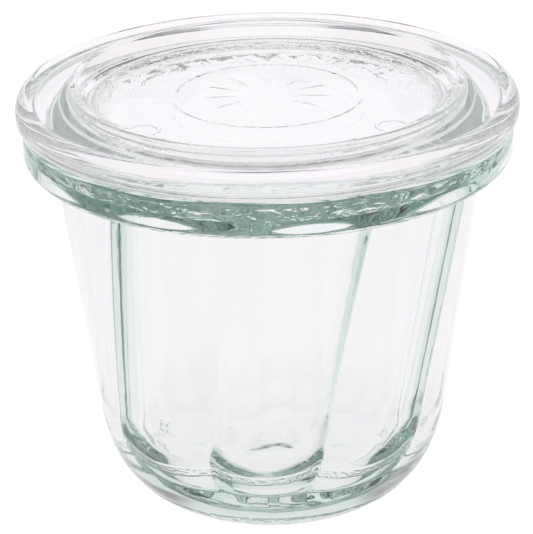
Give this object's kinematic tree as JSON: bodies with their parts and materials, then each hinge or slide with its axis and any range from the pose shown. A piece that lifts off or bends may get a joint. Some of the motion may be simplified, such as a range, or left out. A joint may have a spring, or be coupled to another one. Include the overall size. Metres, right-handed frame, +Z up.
{
  "type": "glass canning jar",
  "caption": "Small empty canning jar of clear pressed glass: tapered body with swirled flutes inside, thick round base, flanged mouth and a loose glass lid with a stacking ridge.",
  "frame": {"origin": "centre of the flat ring under the base, where the jar stands", "axes": "+Z up along the jar's axis, -Y towards the front"},
  "size_m": [0.07, 0.07, 0.0621],
  "materials": {
    "jar_glass": "clear pressed soda-lime glass with a faint green tint",
    "lid_glass": "clear pressed soda-lime glass with a faint green tint"
  },
  "bodies": {
    "root": {"jar": "jar_glass", "lid": "lid_glass"}
  },
  "joints": []
}
